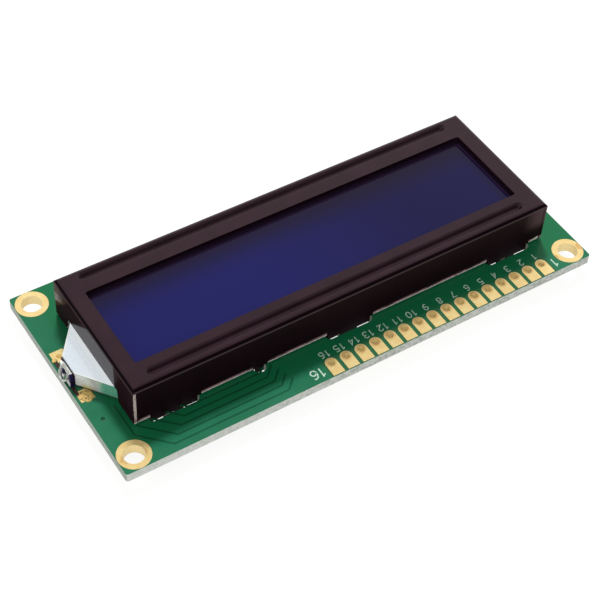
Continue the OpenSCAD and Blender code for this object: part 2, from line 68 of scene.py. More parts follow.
BOARD_LO, BOARD_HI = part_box("pcb")
BEZEL_LO, BEZEL_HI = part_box("bezel")
LAMP_LO, LAMP_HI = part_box("led_housing")
GUIDE_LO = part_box("light_guide")[0]
FILM_LO, FILM_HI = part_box("tongue_film")
DISPLAY_LO, DISPLAY_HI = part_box("front_polarizer")
FACE_Z = BOARD_HI.z
MOUNTS = {m["name"]: m for m in frame["record"]["mounts"]}
PIN1 = Vector(MOUNTS["header_pin_1"]["pos_m"])
PIN16 = Vector(MOUNTS["header_pin_16"]["pos_m"])
PIN_COUNT = 16
PIN_PITCH = (PIN1.x - PIN16.x) / (PIN_COUNT - 1)

# sizes of the bezel that its paint follows: the walls, the window, the tongue's notch in the
# end wall, and the skirts and the stub under the near wall
WALL_Z = FACE_Z + 0.4 * MM
WALL_NEAR_Y = -11.35 * MM
WALL_FAR_Y = 12.15 * MM
SHEET = 0.5 * MM
WINDOW_RIGHT = 32.5 * MM
WINDOW_FAR = 7.6 * MM
TONGUE_Y = 0.8 * MM
TONGUE_HALF = 6.6 * MM
SKIRT_XS = (-28.7 * MM, 0.15 * MM, 29.0 * MM)
SKIRT_HALF = 3.7 * MM
STUB_X = -15.1 * MM
STUB_HALF = 0.9 * MM
# stretches of each skirt's foot painted with a glint of bare steel, in mm from the skirt's middle
GLINT_STRETCHES = ((-3.4, -0.3), (-3.4, -1.7), (-1.1, -0.3))

# ---------------------------------------------------------------- camera

CAMERA_AZIMUTH = -35.526
CAMERA_ELEVATION = 48.478
CAMERA_ROLL = 4.026
CAMERA_DISTANCE = 225.36 * MM
CAMERA_TARGET = Vector((-3.342 * MM, -3.374 * MM, FACE_Z))
CAMERA_LENS = 91.98
CAMERA_SENSOR = 36
CAMERA_CLIP = 0.01


def add_camera():
    """A camera round the target, turned about its own line of sight by the roll."""
    azimuth, elevation = math.radians(CAMERA_AZIMUTH), math.radians(CAMERA_ELEVATION)
    away = Vector((math.sin(azimuth) * math.cos(elevation),
                   -math.cos(azimuth) * math.cos(elevation), math.sin(elevation)))
    right = Vector((math.cos(azimuth), math.sin(azimuth), 0))
    up = away.cross(right)
    turn = math.radians(CAMERA_ROLL)
    rolled_right = right * math.cos(turn) + up * math.sin(turn)
    rolled_up = away.cross(rolled_right)
    data = bpy.data.cameras.new("camera")
    data.lens = CAMERA_LENS
    data.sensor_width = CAMERA_SENSOR
    data.clip_start = CAMERA_CLIP
    camera = bpy.data.objects.new("camera", data)
    bpy.context.scene.collection.objects.link(camera)
    axes = Matrix((rolled_right, rolled_up, away)).transposed().to_4x4()
    camera.matrix_world = Matrix.Translation(CAMERA_TARGET + away * CAMERA_DISTANCE) @ axes
    bpy.context.scene.camera = camera


# ---------------------------------------------------------------- node helpers

def srgb(r, g, b):
    """Linear colour of an sRGB colour given in 0 to 255."""
    def lin(c):
        c /= 255
        return c / 12.92 if c <= 0.04045 else ((c + 0.055) / 1.055) ** 2.4
    return lin(r), lin(g), lin(b), 1.0


class Graph:
    """A node tree of a material or world, with short calls for the nodes used here."""

    def __init__(self, name):
        self.material = bpy.data.materials.new(name)
        self.material.use_nodes = True
        self.tree = self.material.node_tree
        self.shader = self.tree.nodes["Principled BSDF"]
        self.out = self.tree.nodes["Material Output"]
        self._coords = None
        self._normal = None

    def node(self, kind, **values):
        made = self.tree.nodes.new(kind)
        for key, value in values.items():
            setattr(made, key, value)
        return made

    def link(self, a, b):
        self.tree.links.new(a, b)

    def feed(self, socket, value):
        """Link an output to the socket, or set the socket to a plain value."""
        if isinstance(value, bpy.types.NodeSocket):
            self.link(value, socket)
        else:
            socket.default_value = value

    def set(self, **values):
        """Feed the shader's inputs, named with underscores for spaces."""
        for key, value in values.items():
            self.feed(self.shader.inputs[key.replace("_", " ")], value)

    def coords(self):
        if self._coords is None:
            self._coords = self.node("ShaderNodeTexCoord").outputs["Object"]
        return self._coords

    def place(self):
        """The three object coordinates, in metres."""
        return self.split(self.coords())

    def facing(self):
        """The three parts of the surface's normal."""
        if self._normal is None:
            self._normal = self.node("ShaderNodeNewGeometry").outputs["Normal"]
        return self.split(self._normal)

    def noise(self, per_mm, detail=3, rough=0.5):
        """Noise with so many grains to the millimetre."""
        made = self.node("ShaderNodeTexNoise")
        self.link(self.coords(), made.inputs["Vector"])
        made.inputs["Scale"].default_value = per_mm / MM
        made.inputs["Detail"].default_value = detail
        made.inputs["Roughness"].default_value = rough
        return made.outputs["Fac"]

    def ramp(self, value, low, high, out_low=0.0, out_high=1.0):
        """A smooth step from one output to the other as the value goes from low to high."""
        made = self.node("ShaderNodeMapRange", clamp=True, interpolation_type="SMOOTHSTEP")
        self.feed(made.inputs["Value"], value)
        for key, number in (("From Min", low), ("From Max", high),
                            ("To Min", out_low), ("To Max", out_high)):
            self.feed(made.inputs[key], number)
        return made.outputs["Result"]

    def math(self, operation, *values):
        made = self.node("ShaderNodeMath", operation=operation)
        for socket, value in zip(made.inputs, values):
            self.feed(socket, value)
        return made.outputs[0]

    def times(self, first, *others):
        for other in others:
            first = self.math("MULTIPLY", first, other)
        return first

    def plus(self, first, *others):
        for other in others:
            first = self.math("ADD", first, other)
        return first

    def inside(self, value, low, high, soft):
        """1 where the value lies between low and high, with soft ends."""
        return self.times(self.ramp(value, low - soft, low + soft),
                          self.ramp(value, high - soft, high + soft, 1, 0))

    def mix(self, factor, a, b):
        made = self.node("ShaderNodeMix", data_type="RGBA")
        self.feed(made.inputs["Factor"], factor)
        self.feed(made.inputs[6], a)
        self.feed(made.inputs[7], b)
        return made.outputs[2]

    def cloud(self, grain, a, b):
        """A colour that drifts between two with the grain."""
        return self.mix(self.ramp(grain, 0.35, 0.65), a, b)

    def bump(self, height, distance_mm, strength):
        made = self.node("ShaderNodeBump")
        self.link(height, made.inputs["Height"])
        made.inputs["Distance"].default_value = distance_mm * MM
        made.inputs["Strength"].default_value = strength
        self.link(made.outputs["Normal"], self.shader.inputs["Normal"])

    def split(self, vector):
        made = self.node("ShaderNodeSeparateXYZ")
        self.link(vector, made.inputs[0])
        return made.outputs


# ---------------------------------------------------------------- materials

# specular level of the solder mask, the paint and the films
SOFT_GLOSS = 0.25
# how far the bezel's painted shade reaches over the board, in front of it and to its left,
# and the width over which it fades
SHADE_NEAR = 4.0 * MM
SHADE_LEFT = 2.2 * MM
SHADE_SOFT = 1.0 * MM
# how far the brownish mask round the header pads reaches past the end pins
PAD_FIELD = 1.3 * MM


def solder_mask(name="solder_mask", low=(27, 103, 71), high=(34, 109, 77), deep=(12, 102, 60)):
    """Green mask, cloudy from low to high, turned deep by painted shade beside the bezel, and pale
    fibre at the cuts.
    """
    g = Graph(name)
    x, y = g.place()[:2]
    nx, ny, nz = g.facing()
    on_face = g.ramp(g.math("ABSOLUTE", nz), 0.5, 0.6)
    speck = g.ramp(g.noise(1.6, 3), 0.66, 0.74, 0.0, 0.35)
    green = g.cloud(g.noise(0.16, 3), srgb(*low), srgb(*high))
    green = g.mix(speck, green, srgb(16, 84, 56))
    near_edge = WALL_NEAR_Y - SHADE_NEAR
    left_edge = BEZEL_LO.x - SHADE_LEFT
    # painted shade of the bezel: in front of it and to its left the green turns to the deep colour
    shade = g.times(g.ramp(y, near_edge, near_edge + SHADE_SOFT),
                    g.ramp(x, left_edge, left_edge + SHADE_SOFT))
    green = g.mix(g.times(shade, 0.8), green, srgb(*deep))
    among_pads = g.times(g.inside(x, PIN16.x - PAD_FIELD, PIN1.x + PAD_FIELD, 0.1 * MM),
                         g.ramp(y, PIN1.y + 0.4 * MM, PIN1.y + 1.2 * MM, 1, 0))
    green = g.mix(g.times(among_pads, 0.6), green, srgb(46, 84, 50))

    # painted shade: the fibre is darker and greener on the left edge; painted light: it is paler at
    # the left end of the front edge
    weave = g.noise(1.8, 4, 0.7)
    fibre = g.mix(g.ramp(weave, 0.42, 0.62), srgb(222, 226, 218), srgb(184, 191, 182))
    on_left = g.ramp(nx, -0.9, -0.6, 1, 0)
    fibre = g.mix(g.times(on_left, 0.5), fibre, srgb(160, 176, 162))
    on_front = g.ramp(ny, -0.9, -0.6, 1, 0)
    paler = g.times(on_front, g.ramp(x, BOARD_LO.x + 10 * MM, 0, 0.5, 0))
    fibre = g.mix(paler, fibre, srgb(248, 252, 244))
    g.set(Base_Color=g.mix(on_face, fibre, green),
          Roughness=g.ramp(on_face, 0, 1, 0.75, 0.3), IOR=1.5,
          Specular_IOR_Level=SOFT_GLOSS)
    g.bump(g.noise(6, 2), 0.004, 0.5)
    return g.material


# the darker gold round each header hole, from the hole's edge outwards
HALO_START = 0.5 * MM
HALO_END = 0.95 * MM
# how far from the row's line and past its ends a barrel still counts as a header pin's
ROW_REACH = 1.0 * MM


def gold_plating():
    """Thin gold over copper, a little cloudy, and darker round the header holes and in them."""
    g = Graph("gold_plating")
    x, y = g.place()[:2]
    flat = g.ramp(g.math("ABSOLUTE", g.facing()[2]), 0.5, 0.8)
    grain = g.noise(9, 3)
    face = g.cloud(g.noise(0.9, 4, 0.6), srgb(250, 225, 158), srgb(246, 213, 143))
    stain = g.ramp(g.noise(2.2, 4, 0.6), 0.62, 0.74, 0.0, 0.4)
    face = g.mix(stain, face, srgb(206, 168, 100))
    from_row = g.math("SUBTRACT", y, PIN1.y)
    from_hole = g.math("WRAP", g.math("SUBTRACT", x, PIN16.x), PIN_PITCH / 2, -PIN_PITCH / 2)
    reach = g.math("SQRT", g.plus(g.math("POWER", from_hole, 2.0), g.math("POWER", from_row, 2.0)))
    halo = g.times(g.ramp(reach, HALO_START, HALO_END, 1, 0),
                   g.ramp(g.noise(1.4, 3), 0.3, 0.6, 0.4, 1))
    face = g.mix(g.times(halo, 0.75), face, srgb(208, 160, 92))
    in_row = g.times(g.math("LESS_THAN", g.math("ABSOLUTE", from_row), ROW_REACH),
                     g.math("LESS_THAN", g.math("ABSOLUTE", x), PIN1.x + ROW_REACH))
    barrel = g.mix(in_row, srgb(255, 236, 180), srgb(232, 212, 152))
    barrel = g.mix(stain, barrel, srgb(190, 150, 92))
    g.set(Base_Color=g.mix(flat, barrel, face),
          Metallic=g.ramp(flat, 0, 1, 0.1, 0.5), Roughness=g.ramp(grain, 0.3, 0.7, 0.3, 0.45))
    g.bump(grain, 0.008, 0.6)
    return g.material


# how far to each side of a skirt or stub the wall's lower edge stays painted
SLOT_GAP = 0.35 * MM
# how far in from the bezel's sides its outer bends reach
BEND_REACH = 0.8 * MM


class BezelGraph(Graph):
    """The bezel's nodes, with the place, the facing and the walls that its paint follows."""

    def __init__(self, name):
        super().__init__(name)
        self.x, self.y, self.z = self.place()
        self.nx, self.ny = self.facing()[:2]
        self.on_near = self.ramp(self.ny, -0.9, -0.8, 1, 0)
        self.on_end = self.ramp(self.nx, -0.9, -0.8, 1, 0)
        self.on_cut = self.ramp(self.math("ABSOLUTE", self.ny), 0.8, 0.9)
        self.clear = self.clear_of_skirts()

    def clear_of_skirts(self):
        """1 along the near wall's lower edge, away from its skirts and its stub."""
        places = [(STUB_X, STUB_HALF)] + [(middle, SKIRT_HALF) for middle in SKIRT_XS]
        taken = [self.inside(self.x, middle - half - SLOT_GAP, middle + half + SLOT_GAP, 0.1 * MM)
                 for middle, half in places]
        return self.math("SUBTRACT", 1.0, self.plus(*taken))

    def burr(self):
        """The raw lower edge of the near wall, wider at its right end; its pale steel is partly a
        painted highlight.
        """
        ragged = self.times(self.noise(2.2, 3, 0.6), 0.16 * MM)
        height = self.plus(ragged, WALL_Z + 0.15 * MM,
                           self.ramp(self.x, 33 * MM, 34.6 * MM, 0, 0.3 * MM))
        return self.times(self.on_near, self.clear, self.math("LESS_THAN", self.z, height),
                          self.math("LESS_THAN", self.x, BEZEL_HI.x - 0.7 * MM),
                          self.ramp(self.noise(0.7, 3, 0.7), 0.3, 0.4, 0.35, 1))

    def rubbed_tips(self):
        """Painted glints of bare steel on the tips of the skirts, along the given stretches."""
        bare = [self.inside(self.x, middle + start * MM, middle + end * MM, 0.1 * MM)
                for middle, (start, end) in zip(SKIRT_XS, GLINT_STRETCHES)]
        return self.times(self.plus(*bare), self.on_near,
                          self.math("LESS_THAN", self.z, FACE_Z - 0.66 * MM),
                          self.math("GREATER_THAN", self.z, FACE_Z - 0.84 * MM),
                          self.ramp(self.noise(0.9, 2), 0.3, 0.36))

    def left_seams(self):
        """The left end wall's cut edges in its seams, bare and pale along their whole height: real
        bare edges with a painted highlight.
        """
        fray = self.times(self.noise(1.1, 3, 0.7), 0.3 * MM)
        return self.times(self.on_cut, self.math("LESS_THAN", self.x, BEZEL_LO.x + SHEET),
                          self.math("GREATER_THAN", self.plus(self.x, fray),
                                    BEZEL_LO.x + 0.24 * MM),
                          self.math("LESS_THAN", self.z, BEZEL_HI.z - 0.7 * MM))

    def right_seams(self):
        """The right end wall's cut edges in its seams, pale only at their foot: real bare edges
        with a painted glint.
        """
        return self.times(self.on_cut, self.ramp(self.z, WALL_Z, WALL_Z + 0.6 * MM, 0.6, 0),
                          self.math("GREATER_THAN", self.x, BEZEL_HI.x - SHEET))

    def bends(self):
        """Painted reflections on the outer bends, in two parts: a dark line on the upper half, and
        a pale line where they turn into the walls.
        """
        half_x = (BEZEL_HI.x - BEZEL_LO.x) / 2 - BEND_REACH
        half_y = (WALL_FAR_Y - WALL_NEAR_Y) / 2 - BEND_REACH
        off_x = self.math("SUBTRACT", self.x, (BEZEL_HI.x + BEZEL_LO.x) / 2)
        off_y = self.math("SUBTRACT", self.y, (WALL_FAR_Y + WALL_NEAR_Y) / 2)
        at_edge = self.math("MAXIMUM",
                            self.math("GREATER_THAN", self.math("ABSOLUTE", off_x), half_x),
                            self.math("GREATER_THAN", self.math("ABSOLUTE", off_y), half_y))
        at_edge = self.times(at_edge, self.math("GREATER_THAN", self.z, BEZEL_HI.z - 1.3 * MM))
        lateral = self.math("MAXIMUM", self.math("ABSOLUTE", self.nx),
                            self.math("ABSOLUTE", self.ny))
        upper = self.times(at_edge, self.ramp(lateral, 0.4, 0.55),
                           self.ramp(lateral, 0.84, 0.92, 1, 0))
        lower = self.times(at_edge, self.ramp(lateral, 0.9, 0.96),
                           self.ramp(lateral, 0.99, 0.9995, 1, 0))
        return upper, lower

    def hem(self):
        """A pinkish line along the near wall's lower edge."""
        return self.times(self.on_near, self.clear,
                          self.ramp(self.z, WALL_Z + 0.3 * MM, WALL_Z + 0.7 * MM, 1, 0),
                          self.ramp(self.noise(0.6, 3), 0.35, 0.55, 0.2, 1))

    def haze(self):
        """A painted sheen: a lighter patch at the right end of the near wall."""
        return self.times(self.on_near, self.ramp(self.x, 31 * MM, 34.5 * MM),
                          self.ramp(self.z, FACE_Z + 2.5 * MM, FACE_Z + 4.5 * MM))

    def smear(self):
        """A painted highlight: a pale patch at the far top corner of the left end wall."""
        level = self.plus(self.z, self.times(self.math("SUBTRACT", self.y, WALL_FAR_Y), 0.6))
        top = BEZEL_HI.z - 1.6 * MM
        return self.times(self.on_end,
                          self.ramp(self.y, WALL_FAR_Y - 3.6 * MM, WALL_FAR_Y - 0.4 * MM),
                          self.ramp(level, WALL_Z + 2.4 * MM, WALL_Z + 3.1 * MM),
                          self.ramp(self.z, top - 1.2 * MM, top, 1, 0.3),
                          self.ramp(self.noise(1.3, 3), 0.35, 0.6, 0.6, 1))

    def paint(self, bend_painted_dark, bend_painted_pale):
        """Brown-black paint with dust and a pinkish hem, blacker on the near wall by painted shade,
        with painted sheen, highlight and bend lines.
        """
        clouds = self.ramp(self.noise(0.22, 3), 0.3, 0.7)
        paint = self.mix(clouds, srgb(36, 16, 25), srgb(42, 20, 30))
        dust = self.ramp(self.noise(3.5, 4, 0.7), 0.68, 0.8, 0, 0.12)
        # painted shade makes the near wall blacker; the bends' dark and pale lines are painted
        # reflections
        layers = ((dust, 1, (120, 108, 110)), (self.on_near, 0.65, (8, 3, 5)),
                  (self.hem(), 0.75, (190, 150, 162)), (self.haze(), 0.5, (104, 82, 90)),
                  (self.smear(), 0.8, (172, 164, 158)), (bend_painted_dark, 0.9, (6, 2, 4)),
                  (bend_painted_pale, 0.7, (84, 70, 74)))
        for where, strength, colour in layers:
            paint = self.mix(self.times(where, strength), paint, srgb(*colour))
        return paint

    def beside_tongue(self):
        """Dullness of the left end wall: full past the tongue, on the far side along a slope."""
        rise = self.math("MAXIMUM", self.math("SUBTRACT", self.z, FILM_HI.z), 0.0)
        far_end = TONGUE_Y + TONGUE_HALF
        near_end = TONGUE_Y - TONGUE_HALF
        past_far = self.ramp(self.plus(self.y, self.times(rise, 1.3)),
                             far_end - 0.2 * MM, far_end + 0.3 * MM)
        past_near = self.ramp(self.y, near_end - 0.3 * MM, near_end + 0.2 * MM, 1, 0)
        past = self.math("MAXIMUM", past_near, past_far)
        return self.times(self.on_end, self.ramp(past, 0, 1, 0.56, 0.98))


def bezel_steel():
    """Brown-black paint on steel sheet, bare at the cut lower edges and the open seams, whose pale
    colour there and at the skirts' tips is partly painted glints.
    """
    g = BezelGraph("bezel_steel")
    burr = g.burr()
    tips = g.rubbed_tips()
    left_seams = g.left_seams()
    right_seams = g.right_seams()
    bend_painted_dark, bend_painted_pale = g.bends()
    steel = g.cloud(g.noise(4, 3), srgb(236, 232, 224), srgb(196, 188, 180))
    # the seams' pale colour, lighter up high and darker pink at the foot, is partly painted
    # highlight
    foot = g.ramp(g.z, WALL_Z + 0.3 * MM, WALL_Z + 1.6 * MM, 1, 0)
    pink = g.mix(foot, srgb(210, 194, 190), srgb(156, 126, 122))
    pink = g.mix(g.ramp(g.noise(2.6, 3, 0.6), 0.45, 0.6, 0, 0.6), pink, srgb(120, 104, 104))
    colour = g.mix(g.plus(left_seams, g.times(right_seams, 0.8)),
                   g.paint(bend_painted_dark, bend_painted_pale), pink)
    colour = g.mix(g.math("MAXIMUM", burr, tips), colour, steel)
    bare = g.math("MINIMUM", g.plus(burr, tips, left_seams, right_seams), 1.0)
    dull = g.math("MAXIMUM", g.times(g.on_near, 0.85), g.times(bend_painted_dark, 0.9))
    shine = g.math("SUBTRACT", 1.0, g.math("MAXIMUM", dull, g.beside_tongue()))
    grain = g.noise(9, 3)
    g.set(Base_Color=colour, Metallic=g.times(bare, 0.25),
          Roughness=g.plus(g.ramp(grain, 0.3, 0.7, 0.16, 0.24), g.times(g.on_near, 0.2),
                           g.times(bare, 0.2)),
          IOR=1.5, Specular_IOR_Level=g.times(shine, SOFT_GLOSS))
    g.bump(grain, 0.003, 0.5)
    return g.material


def polarizer():
    """Polarizing film: deep blue, duller towards the right, with painted shade towards the far rim
    and along the right rim.
    """
    g = Graph("polarizer")
    x, y = g.place()[:2]
    along = g.ramp(g.plus(x, g.times(y, 0.3)), -12 * MM, 20 * MM)
    far = g.ramp(y, DISPLAY_LO.y + 9 * MM, DISPLAY_HI.y - 1.6 * MM)
    clouds = g.ramp(g.noise(0.06, 2), 0.3, 0.7, 0, 0.15)
    blue = g.mix(along, srgb(14, 15, 83), srgb(8, 0, 58))
    blue = g.mix(clouds, blue, srgb(8, 6, 66))
    # painted shade of the far rim: darker towards the far edge
    blue = g.mix(g.times(far, 0.9), blue, srgb(14, 0, 26))
    # painted shade of the right rim: darker along the right edge
    right = g.ramp(x, WINDOW_RIGHT - 2.4 * MM, WINDOW_RIGHT - 0.5 * MM)
    blue = g.mix(g.times(right, 0.6), blue, srgb(12, 0, 24))
    # the strips along the far and right edges in which the film mirrors the rim
    depth = BEZEL_HI.z - DISPLAY_HI.z
    by_rim = g.math("MAXIMUM",
                    g.ramp(y, WINDOW_FAR - 0.76 * depth, WINDOW_FAR - 0.66 * depth),
                    g.ramp(x, WINDOW_RIGHT - 0.56 * depth, WINDOW_RIGHT - 0.46 * depth))
    blue = g.mix(by_rim, blue, srgb(36, 24, 42))
    g.set(Base_Color=blue, Roughness=0.12, IOR=1.5, Specular_IOR_Level=0.82 * SOFT_GLOSS)
    g.bump(g.noise(4, 2), 0.001, 0.3)
    return g.material


def plain(name, low, high, rough=0.5, per_mm=3.0, metallic=0.0, bump_mm=0.005, **more):
    """A surface that clouds from one colour to another, with a fine bump of the same grain."""
    g = Graph(name)
    grain = g.noise(per_mm, 3)
    g.set(Base_Color=g.cloud(grain, low, high),
          Roughness=g.ramp(grain, 0.3, 0.7, rough * 0.85, min(1.0, rough * 1.15)),
          Metallic=metallic, **more)
    if bump_mm:
        g.bump(g.noise(per_mm * 3, 2), bump_mm, 0.5)
    return g.material


def acrylic():
    """Light guide: frosted and pale at the lamp, with a painted yellow gleam, the board's green
    painted in by the bezel, and painted shade along its foot.
    """
    g = Graph("clear_acrylic")
    x, _, z = g.place()
    # the way from the lamp into the guide, with a drift that blurs each zone's start
    drift = g.times(g.noise(0.9, 3), 0.8 * MM)
    start = LAMP_HI.x
    along = g.plus(x, drift)
    pale = g.mix(g.ramp(along, start + 0.6 * MM, start + 2.2 * MM),
                 srgb(250, 252, 246), srgb(222, 234, 222))
    low = g.ramp(z, GUIDE_LO.z + 0.4 * MM, GUIDE_LO.z + 1.0 * MM, 1, 0)
    gleam = g.times(low, g.inside(along, start + 1.0 * MM, start + 2.0 * MM, 0.3 * MM))
    pale = g.mix(g.times(gleam, 0.8), pale, srgb(222, 214, 134))
    murk = g.inside(along, start + 1.9 * MM, start + 2.6 * MM, 0.3 * MM)
    pale = g.mix(g.times(murk, 0.6), pale, srgb(180, 168, 172))
    # painted image of the board: its green is painted into the clear guide towards the bezel
    tint = g.mix(g.ramp(along, start + 2.2 * MM, start + 3.2 * MM), pale, srgb(100, 178, 146))
    # painted shade: a dark band along the guide's foot, where it meets the film
    foot = g.ramp(z, GUIDE_LO.z + 0.05 * MM, GUIDE_LO.z + 0.3 * MM, 0.75, 0)
    g.set(Base_Color=g.mix(foot, tint, srgb(44, 34, 32)),
          Roughness=g.ramp(g.noise(2, 2), 0.3, 0.7, 0.15, 0.3), IOR=1.49,
          Transmission_Weight=0.15)
    g.bump(g.noise(1.5, 2), 0.01, 0.4)
    return g.material


# half the width of the tongue's film at its end by the lamp
FILM_TIP = 1.9 * MM


def white_film():
    """Bluish white film, paler along its cut sides, lighter and glowing close to the bezel as
    painted light, with painted shade on its edges.
    """
    g = Graph("white_film")
    x, y, z = g.place()
    face = g.cloud(g.noise(4, 3), srgb(203, 212, 219), srgb(210, 218, 224))
    slope = ((FILM_HI.y - FILM_LO.y) / 2 - FILM_TIP) / (FILM_HI.x - FILM_LO.x)
    half = g.plus(g.times(g.math("SUBTRACT", x, FILM_LO.x), slope), FILM_TIP)
    from_side = g.math("SUBTRACT", half, g.math("ABSOLUTE", g.math("SUBTRACT", y, TONGUE_Y)))
    face = g.mix(g.ramp(from_side, 0.35 * MM, 0.5 * MM, 1, 0), face, srgb(216, 221, 219))
    # painted light: lighter close to the bezel
    face = g.mix(g.ramp(x, BEZEL_LO.x - 1.3 * MM, BEZEL_LO.x - 0.2 * MM), face, srgb(246, 248, 246))
    # painted shade: the film's edge faces are darker than its top, and dark brown along the lower
    # film under the guide
    side = g.ramp(g.math("ABSOLUTE", g.facing()[2]), 0.4, 0.6, 1, 0)
    under = g.math("LESS_THAN", z, GUIDE_LO.z + 0.02 * MM)
    rim = g.mix(under, srgb(164, 168, 164), srgb(48, 38, 36))
    on_top = g.ramp(g.facing()[2], 0.5, 0.9)
    # painted light: the top face glows close to the bezel, though nothing lights it
    painted_glow = g.times(on_top, g.ramp(x, BEZEL_LO.x - 1.6 * MM, BEZEL_LO.x - 0.9 * MM))
    g.set(Base_Color=g.mix(side, face, rim), Roughness=0.5, IOR=1.5,
          Emission_Color=g.mix(painted_glow, srgb(0, 0, 0), srgb(160, 168, 172)),
          Emission_Strength=0.9, Specular_IOR_Level=SOFT_GLOSS)
    g.bump(g.noise(7, 2), 0.002, 0.4)
    return g.material


def lamp_resin():
    """Clear-grey resin with smoky patches."""
    g = Graph("led_resin")
    smoke = g.noise(1.9, 4, 0.65)
    resin = g.mix(g.ramp(smoke, 0.4, 0.6), srgb(212, 216, 208), srgb(160, 167, 158))
    resin = g.mix(g.ramp(g.noise(2.9, 3), 0.56, 0.66, 0, 0.7), resin, srgb(98, 86, 90))
    g.set(Base_Color=resin, Roughness=g.ramp(smoke, 0.3, 0.7, 0.1, 0.3), IOR=1.5)
    g.bump(g.noise(3, 3), 0.03, 0.5)
    return g.material


def lamp_solder():
    """Rough, gold-tinted solder with dark flux in its pits."""
    g = Graph("solder")
    pits = g.noise(4.5, 3, 0.6)
    g.set(Base_Color=g.mix(g.ramp(pits, 0.56, 0.64), srgb(232, 196, 120), srgb(70, 48, 60)),
          Metallic=0.4, Roughness=g.ramp(pits, 0.4, 0.6, 0.25, 0.5))
    g.bump(pits, 0.08, 0.8)
    return g.material


def cell_glass():
    """Clear glass of the cell's two plates."""
    g = Graph("cell_glass")
    g.set(Base_Color=srgb(222, 236, 232), Roughness=g.ramp(g.noise(2, 2), 0.3, 0.7, 0.0, 0.03),
          IOR=1.52, Transmission_Weight=1.0)
    return g.material


MATERIALS = {
    "solder_mask": solder_mask(),
    "gold_plating": gold_plating(),
    "bezel_steel": bezel_steel(),
    "polarizer": polarizer(),
    "clear_acrylic": acrylic(),
    "cell_glass": cell_glass(),
    "elastomer": plain("elastomer", srgb(212, 212, 205), srgb(224, 222, 214), 0.6),
    "white_film": white_film(),
    "cell_epoxy": plain("cell_epoxy", srgb(176, 158, 110), srgb(196, 178, 130), 0.4),
    "liquid_crystal": plain("liquid_crystal", srgb(26, 26, 84), srgb(34, 32, 96), 0.2, bump_mm=0),
    "led_resin": lamp_resin(),
    "led_phosphor": plain("led_phosphor", srgb(244, 242, 226), srgb(250, 250, 244), 0.3),
    "lamp_dark": plain("lamp_dark", srgb(26, 14, 20), srgb(30, 24, 80), 0.5, 1.4,
                       Specular_IOR_Level=0.1),
    "lamp_green": plain("lamp_green", srgb(52, 128, 50), srgb(70, 140, 96), 0.3, 4),
    "via": solder_mask("via_mask", (8, 62, 42), (12, 72, 48)),
    "led_lead": plain("led_lead", srgb(58, 40, 40), srgb(96, 74, 68), 0.4, 6, metallic=0.6),
    "solder": lamp_solder(),
    "dome_epoxy": plain("dome_epoxy", srgb(22, 22, 23), srgb(30, 30, 32), 0.35, 1.0, bump_mm=0.02),
    "resistor_body": plain("resistor_body", srgb(24, 24, 27), srgb(34, 34, 38), 0.3),
    "capacitor_body": plain("capacitor_body", srgb(168, 146, 112), srgb(184, 162, 128), 0.5),
}


# angles in degrees past which an edge stays sharp
NODE_SMOOTH = 35
LAMP_SMOOTH = 40
SOLDER_SMOOTH = 60


def smooth(piece, angle):
    """Smooth shading, with sharp edges where faces meet at more than the angle in degrees."""
    mesh = piece.data
    mesh.polygons.foreach_set("use_smooth", [True] * len(mesh.polygons))
    mesh.set_sharp_from_angle(angle=math.radians(angle))


def dress_nodes():
    """Give each CAD node the material of its slot."""
    for entry in frame["record"]["subparts"]:
        node = NODES[entry["node"]]
        node.data.materials.clear()
        node.data.materials.append(MATERIALS[entry["material_slot"]])
        smooth(node, NODE_SMOOTH)


# ---------------------------------------------------------------- meshes made here

# limit that keeps a strip's sharp corners from growing long points
LEAST_MITRE = 0.35


def bridge(mesh, ring, following):
    """Quads between two closed rings of as many vertices."""
    for i in range(len(ring)):
        j = (i + 1) % len(ring)
        mesh.faces.new((ring[i], ring[j], following[j], following[i]))


def strip_sides(points, width):
    """The left and right side points of a strip of even width along a line of points."""
    lines = [Vector(p) for p in points]
    left, right = [], []
    for i, point in enumerate(lines):
        before = (point - lines[i - 1]).normalized() if i else None
        after = (lines[i + 1] - point).normalized() if i + 1 < len(lines) else None
        along = ((before or after) + (after or before)).normalized()
        normal = Vector((-along.y, along.x))
        edge = before or after
        reach = width / 2 / max(LEAST_MITRE, normal.dot(Vector((-edge.y, edge.x))))
        left.append(point + normal * reach)
        right.append(point - normal * reach)
    return left, right


def add_strip(mesh, points, width, low, high, taper=0.0):
    """A raised strip along the points, narrower at its top by the taper on each side."""
    base_left, base_right = strip_sides(points, width)
    top_left, top_right = strip_sides(points, width - 2 * taper)
    rows = []
    for bl, tl, tr, br in zip(base_left, top_left, top_right, base_right):
        corners = ((bl, low), (tl, high), (tr, high), (br, low))
        rows.append([mesh.verts.new((p.x, p.y, z)) for p, z in corners])
    for row, following in zip(rows, rows[1:]):
        bridge(mesh, row, following)
    mesh.faces.new(rows[0][::-1])
    mesh.faces.new(rows[-1])


def add_piece(name, mesh, material, angle=None):
    """Turn a bmesh into an object of the root body, smooth if it gets an angle."""
    bmesh.ops.recalc_face_normals(mesh, faces=mesh.faces)
    data = bpy.data.meshes.new(name)
    mesh.to_mesh(data)
    mesh.free()
    data.materials.append(material)
    piece = bpy.data.objects.new(name, data)
    bpy.context.scene.collection.objects.link(piece)
    if angle:
        smooth(piece, angle)
    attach(piece, "root")
    return piece


def rounded_box(mesh, low, high, radius, segments=3):
    """A box with rounded edges, added to the mesh."""
    box = bmesh.new()
    bmesh.ops.create_cube(box, size=1)
    size = Vector(high) - Vector(low)
    middle = (Vector(high) + Vector(low)) / 2
    bmesh.ops.scale(box, vec=size, verts=box.verts)
    bmesh.ops.bevel(box, geom=box.edges, offset=radius, segments=segments, profile=0.5,
                    affect="EDGES")
    bmesh.ops.translate(box, vec=middle, verts=box.verts)
    merge(mesh, box)


